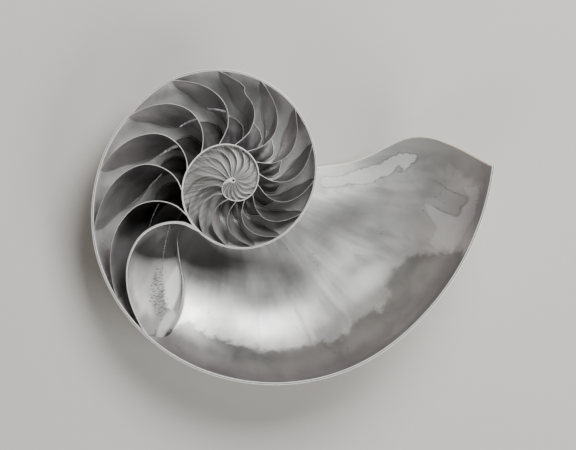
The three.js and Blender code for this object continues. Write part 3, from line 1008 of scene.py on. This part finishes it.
class Nacre(Finish):
    """Mother of pearl, grown in thin sheets: it gives the eye a satin silver with soft bands along
    its growth, a faint play of colour, and a duller margin behind the lip."""

    def __init__(self, settings):
        notes = ("turn", "side", "rise", "septum", "joint", "margin", "cloud", "sunk", *PATCHES)
        super().__init__("Mother_of_Pearl", {"IOR": 1.6}, notes)
        self.settings = settings
        self.matt = []
        self.grow()
        self.paint_septum_reflections()
        self.darken()
        self.light_the_last_septum()
        self.ridge_the_joints()
        self.shade_below_the_cut()
        self.fray_the_margin()
        self.patch_near_the_lip()
        self.paint_reflection_strokes()
        self.pit()
        self.play()

    def grow(self):
        """Soft bands and streaks that follow the growth, and clouds that don't."""
        node, settings = self.node, self.settings
        across = node("times", self.side, GROWTH_ACROSS)
        growth = node("vector", self.turn, across, node("times", self.rise, GROWTH_INWARD))
        self.bands = node("noise", growth, *pattern("growth_bands"))
        self.streaks = node("noise", growth, *pattern("growth_streaks"))
        self.clouds = node("noise", self.place, *pattern("nacre_clouds"))
        tone = node("plus", node("times", self.bands, 0.4), node("times", self.clouds, 0.6))
        tone = node("band", tone, 0.3, 0.62)
        self.colour = node("mix", tone, settings.nacre_dark, settings.nacre_light)
        near_coil = node("band", self.side, 0.3, 0.7, 1.0, 0.15)
        streaked = node("times", node("band", self.streaks, 0.45, 0.75, 0.0, 0.12), near_coil)
        self.lay(streaked, settings.nacre_dark)

    def paint_septum_reflections(self):
        """The oldest whorls are pale and chalky; the faces of the septa between the newer chambers carry
        a painted dark reflection.
        """
        node, settings = self.node, self.settings
        self.young = node("band", self.turn, *STRETCHES["chalk_to_nacre"])
        last = node("band", self.turn, *STRETCHES["last_septum"])
        self.on_last = node("times", self.septum, last)
        septum = node("band", self.septum, 0.72, 0.95)
        septum = node("plus", septum, self.on_last, use_clamp=True)
        self.on_septum = node("times", septum, self.young)
        # Painted dark reflection on the faces of the septa, as a dark lens.
        lens = node("band", self.clouds, 0.35, 0.65, 0.92, 0.65)
        lens = node("times", lens, node("band", self.rise, 0.05, 0.5, 0.6, 1.0))
        self.lay(node("times", self.on_septum, lens), settings.painted_reflection_and_tube_dark)
        ribs = node("vector", node("times", self.turn, RIB_SPREAD), self.side, self.rise)
        ribs = node("band", node("noise", ribs, *pattern("chalky_ribs")), 0.38, 0.62, 0.0, 0.72)
        chalk = node("mix", ribs, settings.chalk, settings.nacre_dark)
        self.colour = node("mix", self.young, chalk, self.colour)

    def darken(self):
        """Painted shade and light: painted shade deepens inwards in the newest chambers, lies over the
        body chamber, most near the cut, and on the older septa, follows the darker spots, and lies along
        the outer wall of the body chamber and on the face of the last septum; the lighter spots are
        painted light."""
        node, turn = self.node, self.turn
        # Painted shade, deepening inwards in the newest chambers, and over the body chamber, most near
        # the cut.
        begins = node("band", turn, *STRETCHES["newest_chambers_begin"])
        newest = node("times", begins, node("band", turn, *STRETCHES["newest_chambers_end"], 1.0, 0.0))
        painted_shade = node("times", newest, node("band", self.rise, 0.1, 0.45))
        in_body = node("band", turn, *STRETCHES["body_chamber"])
        rim = node("times", in_body, node("band", self.side, 0.05, 0.22, 0.18, 0.05))
        painted_shade = node("plus", node("times", painted_shade, 0.92), rim)
        # Painted shade on the faces of the older septa.
        begins = node("band", turn, *STRETCHES["dark_septa_begin"], 0.0, 0.4)
        older = node("times", begins, node("band", turn, *STRETCHES["dark_septa_end"], 1.0, 0.0))
        painted_shade = node("plus", painted_shade, node("times", older, self.on_septum))
        # Painted shade from the darker spots, and painted light from the lighter ones.
        darker = node("band", self.cloud, -1.1, 0.0, 0.88, 0.0)
        painted_shade = node("plus", painted_shade, darker, use_clamp=True)
        self.lay(node("band", self.cloud, 0.0, 0.8), WHITE)
        # Painted shade along the outer wall of the body chamber.
        frayed = node("noise", self.place, *pattern("shade_edge"))
        frayed = node("plus", self.venter_shade, node("band", frayed, 0.2, 0.8, *SHADE_FRAY))
        shaded = node("times", node("band", frayed, *SHADE_EDGE, 0.46, 0.0), in_body)
        painted_shade = node("plus", painted_shade, shaded, use_clamp=True)
        # Painted shade greys the face of the last septum.
        self.on_face = node("band", self.on_last, 0.1, 0.2)
        painted_shade = node("plus", painted_shade, node("times", self.on_face, 0.52), use_clamp=True)
        self.lay(painted_shade, self.settings.pit_and_painted_shade_colour)

    def light_the_last_septum(self):
        """Painted light on the last septum's grey face: a bright area, a pale band and a pale foot."""
        # Painted light: areas of the last septum's face lighten towards white.
        for area, (soft, strength) in PAINTED_LIGHT_AREAS.items():
            shown = self.node("band", getattr(self, area), -soft, soft, strength, 0.0)
            self.lay(self.node("times", shown, self.on_face), WHITE)

    def ridge_the_joints(self):
        """Deep in a chamber, where a septum joins a wall and swells, a dark line runs beside a bright
        ridge whose brightness is a painted highlight.
        """
        node, settings = self.node, self.settings
        deep = node("times", node("band", self.side, 0.3, 0.5), self.young)
        edge = node("noise", self.place, *pattern("ridge_edge"))
        away = node("plus", self.joint, node("band", edge, 0.3, 0.7, *RIDGE_WAVER))
        ridge = node("times", node("band", away, *RIDGE_EDGE, 1.0, 0.0), deep)
        line = node("band", away, *LINE_START)
        line = node("times", line, node("band", away, *LINE_END, 1.0, 0.0))
        self.lay(node("times", line, deep), settings.pit_and_painted_shade_colour, 0.9)
        # Painted highlight: the ridge takes the brightest nacre colour and mirrors less.
        self.lay(ridge, settings.nacre_light, 0.9)
        self.matt.append(ridge)

    def shade_below_the_cut(self):
        """Painted shade: a dark hairline just below the cut, stronger on the newer whorls."""
        # Painted shade just below the cut.
        cut_shade = self.node("band", self.sunk, *CUT_SHADE_EDGE, 0.9, 0.0)
        grown = self.node("band", self.turn, *STRETCHES["cut_shade_grows"], 0.5, 1.0)
        self.lay(self.node("times", cut_shade, grown), self.settings.pit_and_painted_shade_colour)

    def fray_the_margin(self):
        """Behind the lip the nacre ends raggedly on the duller porcelain layer."""
        edge = self.node("noise", self.place, *pattern("margin_edge"))
        ragged = self.node("plus", self.margin, self.node("band", edge, 0.0, 1.0, *MARGIN_FRAY))
        self.dull = self.node("band", ragged, *MARGIN_EDGE, 1.0, 0.0)
        self.lay(self.dull, self.settings.margin_colour, 0.6)

    def patch_near_the_lip(self):
        """Each patch has a frayed edge and a thin dark outline, and fades away from the lip."""
        node, settings = self.node, self.settings
        edge = node("noise", self.place, *pattern("patch_edge"))
        edge = node("band", edge, 0.2, 0.8, *PATCH_WAVER)
        across = add(self.tree, "ShaderNodeSeparateXYZ", {"Vector": self.place}).outputs["X"]
        for patch, (shade, strength, outlined, begin) in LIP_PATCHES.items():
            shown = node("band", across, begin, begin + PATCH_FADE)
            distance = node("plus", getattr(self, patch), edge)
            inside = node("times", node("band", distance, *PATCH_EDGE, 1.0, 0.0), shown)
            outer = node("band", distance, *OUTLINE_END, 1.0, 0.0)
            outline = node("times", node("band", distance, *OUTLINE_START), outer)
            outline = node("times", outline, shown)
            self.lay(inside, getattr(settings, shade), strength)
            self.lay(outline, settings.pit_and_painted_shade_colour, outlined)
            self.matt.append(node("times", inside, strength))

    def paint_reflection_strokes(self):
        """A painted reflection on the last septum: a strip of short dark strokes."""
        node = self.node
        slanted = add(self.tree, "ShaderNodeMapping", {
            "Vector": self.place, "Rotation": STROKE_SLANT, "Scale": STROKE_STRETCH,
        })
        strokes = node("noise", slanted.outputs[0], *pattern("reflection_strokes"))
        # Painted reflection: short dark strokes in a strip on the last septum.
        strip = node("band", self.scuffed_strip, *STRIP_EDGE, 1.0, 0.0)
        strip = node("times", strip, node("band", strokes, 0.47, 0.62))
        self.lay(strip, self.settings.painted_reflection_and_tube_dark, 0.75)

    def pit(self):
        """Pits are where grains of the nacre have fallen out."""
        node = self.node
        spots = {"Vector": self.place, "Scale": 1 / PIT_SPACING}
        cells = add(self.tree, "ShaderNodeTexVoronoi", spots).outputs["Distance"]
        begins = node("band", self.turn, *STRETCHES["pits_begin"])
        pitted = node("times", begins, node("band", self.turn, *STRETCHES["pits_end"], 0.14, 0.0))
        groups = node("noise", self.place, *pattern("pit_groups"))
        few = node("band", node("plus", groups, pitted), 0.58, 0.64)
        self.pits = node("times", node("band", cells, 0.05, 0.13, 1.0, 0.0), few)
        self.lay(self.pits, self.settings.pit_and_painted_shade_colour, 0.85)

    def play(self):
        """The play of colour goes from cool to warm as the surface turns away from the eye."""
        facing = add(self.tree, "ShaderNodeLayerWeight", {"Blend": 0.4}).outputs["Facing"]
        warmth = self.node("plus", facing, self.node("times", self.clouds, 0.5))
        ramp = add(self.tree, "ShaderNodeValToRGB", {"Fac": warmth})
        settings = self.settings
        stops = ((0.25, settings.play_cool), (0.5, settings.nacre_light), (0.75, settings.play_warm))
        for _ in range(len(stops) - len(ramp.color_ramp.elements)):
            ramp.color_ramp.elements.new(0.5)
        for element, (position, shade) in zip(ramp.color_ramp.elements, stops):
            element.position = position
            element.color = shade
        played = ramp.outputs["Color"]
        self.colour = self.node("mix", settings.play, self.colour, played, blend_type="MULTIPLY")

    def polish(self):
        """Roughness, mirror and relief: smooth nacre mirrors, and dull places, the last septum and the
        spots of painted light and shade hardly do.
        """
        node, settings = self.node, self.settings
        middle = settings.nacre_roughness
        rough = node("band", self.bands, 0.3, 0.7, middle - 0.04, middle + 0.06)
        rough = node("plus", rough, node("times", self.dull, 0.15))
        metal = node("band", self.turn, *STRETCHES["chalk_to_nacre"], 0.1, settings.nacre_metal)
        thin_wall = node("band", self.turn, *STRETCHES["thin_wall_ends"], 1.0, 0.0)
        thin_wall = node("minus", thin_wall, self.on_septum, use_clamp=True)
        self.matt.append(node("times", thin_wall, 0.45))
        # The spots of painted light and shade mirror less.
        self.matt.append(node("band", self.cloud, 0.15, 0.8))
        self.matt.append(node("times", self.on_last, 2.6, use_clamp=True))
        self.matt.append(node("band", self.cloud, -0.8, -0.1, 0.7, 0.0))
        rough = node("plus", rough, node("times", self.on_last, 0.4))
        for matt in self.matt:
            metal = node("times", metal, node("band", matt, 0.0, 1.0, 1.0, 0.1))
        height = node("plus", self.streaks, node("times", self.pits, -1.5))
        normal = node("bump", self.bands, *relief("growth_bands"))
        normal = node("bump", height, *relief("streaks_and_pits"), normal)
        return self.done(Roughness=rough, Metallic=metal, Normal=normal)


def nacre_finish(settings):
    return Nacre(settings).polish()


def cut_finish(settings):
    """Sawn and ground shell: it gives the eye a bright narrow edge, with the chalky outer layer
    and the silver inner layer parted by a dark hairline, and greyer edges on the thin septa."""
    constants = {"IOR": 1.6, "Metallic": 0.1, "Roughness": 0.28}
    finish = Finish("Sawn_Shell_Edge", constants, ("turn", "layer", "septum"))
    node = finish.node
    grain = node("noise", finish.place, *pattern("saw_grain"))
    wobble = node("plus", finish.layer, node("band", grain, 0.2, 0.8, -0.06, 0.06))
    inner = node("band", wobble, 0.4, 0.55)
    finish.colour = node("mix", inner, settings.edge_outer, settings.edge_inner)
    line = node("times", node("band", wobble, 0.2, 0.32), node("band", wobble, 0.58, 0.7, 1.0, 0.0))
    finish.lay(line, settings.pit_and_painted_shade_colour, 0.85)
    finish.lay(finish.septum, settings.edge_septum)
    scratched = node("vector", finish.turn, node("times", finish.layer, 3.0))
    scratches = node("noise", scratched, *pattern("saw_scratches"))
    finish.lay(node("band", scratches, 0.5, 0.8, 0.0, 0.4), settings.nacre_shade)
    return finish.done(Normal=node("bump", grain, *relief("saw_grain")))


def porcelain_finish(settings):
    """The outside of the shell, laid down by the lip: it gives the eye a cream glaze with fine
    growth lines, and rust-brown flames on its older part."""
    constants = {"IOR": 1.56, "Metallic": 0.0, "Coat Weight": 0.25, "Coat Roughness": 0.25}
    finish = Finish("Shell_Porcelain", constants, ("turn", "side"))
    node, turn, side = finish.node, finish.turn, finish.side
    growth = node("vector", turn, node("times", side, GLAZE_ACROSS))
    lines = node("noise", growth, *pattern("growth_lines"))
    waves = node("noise", growth, *pattern("growth_waves"))
    clouds = node("noise", finish.place, *pattern("glaze_clouds"))
    warm = node("band", clouds, 0.35, 0.65)
    finish.colour = node("mix", warm, settings.porcelain, settings.porcelain_warm)
    finish.lay(node("band", lines, 0.45, 0.75, 0.0, 0.3), settings.growth_line)

    # Each flame starts at the rim and leans back and frays towards the umbilicus.
    lean = node("times", node("power", side, 1.5), FLAME_LEAN)
    drift = node("vector", node("times", turn, DRIFT_ALONG), node("times", side, DRIFT_ACROSS))
    drift = node("times", node("noise", drift, *pattern("flame_drift")), FLAME_DRIFT)
    phase = node("plus", node("plus", turn, lean), drift)
    wave = node("sine", node("times", phase, math.tau / settings.flame_spacing))
    fray = node("minus", node("noise", growth, *pattern("flame_fray")), 0.5)
    wave = node("plus", wave, node("times", fray, FLAME_FRAY))
    width = node("band", side, 0.0, 0.75, 0.55, -0.75)
    flame = node("band", node("plus", wave, width), 0.15, 0.5)
    before, after = FLAME_FADE
    older = node("band", turn, settings.flame_end - before, settings.flame_end + after, 1.0, 0.0)
    tint = node("band", clouds, 0.4, 0.6)
    tint = node("mix", tint, settings.flame_dark, settings.flame_light)
    finish.lay(node("times", flame, older), tint, 0.9)

    finish.lay(node("band", side, 0.86, 0.97), settings.nacre_light, 0.8)
    normal = node("bump", waves, *relief("growth_waves"))
    normal = node("bump", lines, *relief("growth_lines"), normal)
    return finish.done(Roughness=node("band", clouds, 0.3, 0.7, 0.32, 0.45), Normal=normal)


def siphuncle_finish(settings):
    """The dried siphuncle, a horny tube crusted with chalk: it gives the eye a dull, rough thread."""
    finish = Finish("Dried_Siphuncle", {"IOR": 1.5, "Metallic": 0.0, "Roughness": 0.5})
    crust = finish.node("noise", finish.place, *pattern("chalk_crust"))
    bare = finish.node("band", crust, 0.25, 0.5)
    finish.colour = finish.node("mix", bare, settings.patch_pale, settings.painted_reflection_and_tube_dark)
    return finish.done(Normal=finish.node("bump", crust, *relief("chalk_crust")))


def floor_finish(settings):
    """Matt studio board: it gives the eye a plain pale ground with no grain to speak of."""
    finish = Finish("Studio_Board", {"IOR": 1.45, "Roughness": 0.85})
    tooth = finish.node("noise", finish.place, *pattern("board_tooth"))
    tooth = finish.node("band", tooth, 0.3, 0.7, 0.0, 0.12)
    finish.colour = finish.node("mix", tooth, settings.floor, settings.floor_shade)
    return finish.done()


def link(obj):
    bpy.context.scene.collection.objects.link(obj)
    return obj


def siphuncle_tree(material):
    """Geometry Nodes that turn bare paths into crusted, tapering tubes."""
    tree = bpy.data.node_groups.new("Siphuncle_Tubes", "GeometryNodeTree")
    face = tree.interface
    face.new_socket("Geometry", in_out="INPUT", socket_type="NodeSocketGeometry")
    for name in ("Crust Size", "Crust Depth"):
        socket = face.new_socket(name, in_out="INPUT", socket_type="NodeSocketFloat")
        socket.subtype = "DISTANCE"
        socket.min_value = 0.0
    face.new_socket("Geometry", in_out="OUTPUT", socket_type="NodeSocketGeometry")
    start = add(tree, "NodeGroupInput").outputs
    line = add(tree, "GeometryNodeResampleCurve", {"Curve": start["Geometry"], "Count": TUBE_POINTS})
    ring = add(tree, "GeometryNodeCurvePrimitiveCircle", {"Resolution": TUBE_SIDES, "Radius": MM / 2})
    radius = add(tree, "GeometryNodeInputRadius")
    tube = add(tree, "GeometryNodeCurveToMesh", {
        "Curve": line.outputs[0], "Profile Curve": ring.outputs["Curve"],
        "Scale": radius.outputs[0], "Fill Caps": True,
    })
    size = add(tree, "ShaderNodeMath", {0: 1.0, 1: start["Crust Size"]}, operation="DIVIDE")
    place = add(tree, "GeometryNodeInputPosition")
    crust = add(tree, "ShaderNodeTexNoise", {"Vector": place.outputs[0], "Scale": size.outputs[0]})
    height = add(tree, "ShaderNodeMath", {0: crust.outputs[0], 1: -0.5}, operation="ADD")
    heights = {0: height.outputs[0], 1: start["Crust Depth"]}
    rise = add(tree, "ShaderNodeMath", heights, operation="MULTIPLY")
    normal = add(tree, "GeometryNodeInputNormal")
    push = add(tree, "ShaderNodeVectorMath", {0: normal.outputs[0]}, operation="SCALE")
    tree.links.new(rise.outputs[0], push.inputs["Scale"])
    moved = add(tree, "GeometryNodeSetPosition", {"Geometry": tube.outputs[0], "Offset": push.outputs[0]})
    soft = add(tree, "GeometryNodeSetShadeSmooth", {"Geometry": moved.outputs[0]})
    real = add(tree, "GeometryNodeRealizeInstances", {"Geometry": soft.outputs[0]})
    finish = add(tree, "GeometryNodeSetMaterial", {"Geometry": real.outputs[0], "Material": material})
    end = add(tree, "NodeGroupOutput")
    tree.links.new(finish.outputs[0], end.inputs["Geometry"])
    return tree


def apply_tree(obj, tree, values):
    """Runs Geometry Nodes on an object and returns the result as a plain mesh."""
    modifier = obj.modifiers.new(tree.name, "NODES")
    modifier.node_group = tree
    for item in tree.interface.items_tree:
        if item.item_type == "SOCKET" and item.in_out == "INPUT" and item.name in values:
            modifier[item.identifier] = values[item.name]
    bpy.context.view_layer.update()
    evaluated = obj.evaluated_get(bpy.context.evaluated_depsgraph_get())
    return bpy.data.meshes.new_from_object(evaluated)


class NautilusSizes(bpy.types.PropertyGroup):
    edge_round: bpy.props.FloatProperty(
        name="Edge Rounding", description="How far the saw's edges are rounded",
        default=0.00011, min=0.00002, max=0.0003, subtype="DISTANCE", unit="LENGTH")
    crust_size: bpy.props.FloatProperty(
        name="Crust Size", description="Width of a lump on the siphuncle",
        default=0.0008, min=0.0001, subtype="DISTANCE", unit="LENGTH")
    crust_depth: bpy.props.FloatProperty(
        name="Crust Depth", description="Height of a lump on the siphuncle",
        default=0.0004, min=0.0, subtype="DISTANCE", unit="LENGTH")


def colour_property(name, code, description):
    return bpy.props.FloatVectorProperty(
        name=name, description=description, subtype="COLOR", size=4, min=0.0, max=1.0,
        default=linear(code))


class NautilusFinishes(bpy.types.PropertyGroup):
    nacre_light: colour_property("Nacre Light", "#f2f1ef", "Brightest mother of pearl")
    nacre_dark: colour_property("Nacre Dark", "#cfcecf", "Mother of pearl between its bands")
    nacre_shade: colour_property("Nacre Shade", "#8c8b8e", "Scratches on the cut")
    # The faces of the septa take this as a painted dark reflection; the dried siphuncle takes it as its
    # own dark.
    painted_reflection_and_tube_dark: colour_property("Septum", "#565558", "Faces of the septa")
    chalk: colour_property("Chalk", "#817e79", "Growth lines in the oldest whorls")
    play_cool: colour_property("Cool Play", "#dfe9e4", "Play of colour seen straight on")
    play_warm: colour_property("Warm Play", "#efe0e4", "Play of colour seen at a slant")
    margin_colour: colour_property("Lip Margin", "#8b8a88", "Dull margin behind the lip")
    patch_pale: colour_property("Pale Patch", "#dddcda", "Pale patches near the lip")
    patch_dark: colour_property("Dark Patch", "#8a8988", "Dark patch near the lip")
    # Pits, hairlines and outlines; also the colour of the painted shade.
    pit_and_painted_shade_colour: colour_property("Pits", "#2a2826", "Pits and hairlines")
    edge_outer: colour_property("Edge Outer", "#f4f2ee", "Outer layer on the cut")
    edge_inner: colour_property("Edge Inner", "#e9e8e5", "Inner layer on the cut")
    edge_septum: colour_property("Septum Edge", "#c4c3bf", "Edges of the septa on the cut")
    porcelain: colour_property("Porcelain", "#e8e1d2", "Outside of the shell")
    porcelain_warm: colour_property("Warm Porcelain", "#dccfb8", "Clouds on the outside")
    growth_line: colour_property("Growth Line", "#b9a68a", "Growth lines on the outside")
    flame_dark: colour_property("Flame Dark", "#7c3a1e", "Dark of the flames on the outside")
    flame_light: colour_property("Flame Light", "#a8592f", "Light of the flames on the outside")
    nacre_roughness: bpy.props.FloatProperty(
        name="Nacre Roughness", description="Roughness of the mother of pearl",
        default=0.34, min=0.05, max=1.0, subtype="FACTOR")
    nacre_metal: bpy.props.FloatProperty(
        name="Nacre Mirror", description="How much the mother of pearl mirrors like a metal",
        default=0.7, min=0.0, max=1.0, subtype="FACTOR")
    play: bpy.props.FloatProperty(
        name="Play of Colour", description="Strength of the play of colour",
        default=0.35, min=0.0, max=1.0, subtype="FACTOR")
    flame_spacing: bpy.props.FloatProperty(
        name="Flame Spacing", description="Angle between flames, in degrees of turn",
        default=19.0, min=4.0, max=60.0)
    flame_end: bpy.props.FloatProperty(
        name="Flame End", description="Angle round the coil at which the flames fade",
        default=950.0, min=700.0, max=1100.0)


class NautilusStudio(bpy.types.PropertyGroup):
    floor: colour_property("Floor", "#c6c4c0", "Colour of the floor")
    floor_shade: colour_property("Floor Shade", "#bdbbb7", "Clouds on the floor")
    distance: bpy.props.FloatProperty(
        name="Camera Distance", description="From the camera to the sawn face",
        default=1.4, min=0.3, subtype="DISTANCE", unit="LENGTH")
    world: bpy.props.FloatProperty(
        name="Room Light", description="Strength of the light from all round", default=0.07,
        min=0.0, max=5.0)


class NAUTILUS_OT_shell(bpy.types.Operator):
    """Build the sawn half of the shell with all its chambers"""
    bl_idname = "nautilus.shell"
    bl_label = "Shell"

    def execute(self, context):
        sizes, finishes = context.scene.nautilus_sizes, context.scene.nautilus_finishes
        mesh = shell_mesh(shell_body(sizes.edge_round / MM), "sawn_shell")
        for material in (nacre_finish, cut_finish, porcelain_finish):
            mesh.materials.append(material(finishes))
        shell = link(bpy.data.objects.new("sawn_shell", mesh))
        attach(shell, "root")
        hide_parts("nautilus_shell_half")
        return {"FINISHED"}


class NAUTILUS_OT_siphuncle(bpy.types.Operator):
    """Build what is left of the siphuncle in the newest chambers"""
    bl_idname = "nautilus.siphuncle"
    bl_label = "Siphuncle"

    def execute(self, context):
        sizes, finishes = context.scene.nautilus_sizes, context.scene.nautilus_finishes
        curve = bpy.data.curves.new("siphuncle_paths", "CURVE")
        curve.dimensions = "3D"
        for *stations, width in SIPHUNCLE:
            spline = curve.splines.new("NURBS")
            spline.points.add(len(stations) - 1)
            spline.order_u = 3
            spline.use_endpoint_u = True
            for point, (turn, away), taper in zip(spline.points, stations, SIPHUNCLE_TAPER):
                spot = frame_matrix() @ Vector(place(turn, away, SIPHUNCLE_SINK * width) * MM)
                point.co = (*spot, 1.0)
                point.radius = width * taper
        paths = link(bpy.data.objects.new("siphuncle_paths", curve))
        tree = siphuncle_tree(siphuncle_finish(finishes))
        values = {"Crust Size": sizes.crust_size, "Crust Depth": sizes.crust_depth}
        mesh = apply_tree(paths, tree, values)
        bpy.data.objects.remove(paths)
        tubes = link(bpy.data.objects.new("siphuncle_remains", mesh))
        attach(tubes, "root")
        return {"FINISHED"}


def aim(obj, spot, target, up):
    """Places an object and turns its -Z to the target, with its Y towards up."""
    back = (spot - target).normalized()
    right = up.cross(back).normalized()
    axes = Matrix((right, back.cross(right), back)).transposed().to_4x4()
    obj.matrix_world = Matrix.Translation(spot) @ axes


class NAUTILUS_OT_studio(bpy.types.Operator):
    """Build the floor, the lights and the camera"""
    bl_idname = "nautilus.studio"
    bl_label = "Studio"

    def execute(self, context):
        scene, studio = context.scene, context.scene.nautilus_studio
        bpy.ops.mesh.primitive_circle_add(vertices=96, radius=FLOOR_RADIUS, fill_type="NGON")
        floor = context.object
        floor.name = "floor"
        floor.data.materials.append(floor_finish(studio))

        to_frame = frame_matrix()
        target = to_frame @ (Vector(VIEW_MIDDLE) * MM)
        turn = to_frame.to_3x3()
        camera = link(bpy.data.objects.new("camera", bpy.data.cameras.new("camera")))
        camera.data.lens = camera.data.sensor_width * studio.distance / (VIEW_WIDTH * MM)
        camera.data.clip_end = SIGHT
        aim(camera, target + turn @ Vector((0, 0, studio.distance)), target, turn @ Vector((0, 1, 0)))
        scene.camera = camera

        for name, direction, distance, width, height, power in SOFTBOXES:
            lamp = bpy.data.lights.new(name, "AREA")
            lamp.shape = "RECTANGLE"
            lamp.size, lamp.size_y, lamp.energy = width, height, power
            spot = target + turn @ Vector(direction).normalized() * distance
            aim(link(bpy.data.objects.new(name, lamp)), spot, target, turn @ Vector((0, 1, 0)))

        world = bpy.data.worlds.new("Room")
        world.use_nodes = True
        light = world.node_tree.nodes["Background"]
        light.inputs["Color"].default_value = tuple(studio.floor)
        light.inputs["Strength"].default_value = studio.world
        scene.world = world
        return {"FINISHED"}


class NAUTILUS_PT_panel(bpy.types.Panel):
    """Lists the pieces of the nautilus shell"""
    bl_idname = "NAUTILUS_PT_panel"
    bl_label = "Nautilus Shell Half"
    bl_space_type = "VIEW_3D"
    bl_region_type = "UI"
    bl_category = "Nautilus"

    def draw(self, context):
        for operator in OPERATORS:
            self.layout.operator(operator.bl_idname)
        for group in (getattr(context.scene, name) for name in GROUPS):
            column = self.layout.column(align=True)
            for name in group.bl_rna.properties.keys():
                if name not in ("rna_type", "name"):
                    column.prop(group, name)


OPERATORS = (NAUTILUS_OT_shell, NAUTILUS_OT_siphuncle, NAUTILUS_OT_studio)
GROUPS = {
    "nautilus_sizes": NautilusSizes,
    "nautilus_finishes": NautilusFinishes,
    "nautilus_studio": NautilusStudio,
}


def register():
    for item in (*GROUPS.values(), *OPERATORS, NAUTILUS_PT_panel):
        bpy.utils.register_class(item)
    for name, group in GROUPS.items():
        setattr(bpy.types.Scene, name, bpy.props.PointerProperty(type=group))


def unregister():
    for name in GROUPS:
        delattr(bpy.types.Scene, name)
    for item in reversed((*GROUPS.values(), *OPERATORS, NAUTILUS_PT_panel)):
        bpy.utils.unregister_class(item)


def main():
    register()
    bpy.ops.nautilus.studio()
    bpy.ops.nautilus.shell()
    bpy.ops.nautilus.siphuncle()


if __name__ == "__main__":
    main()
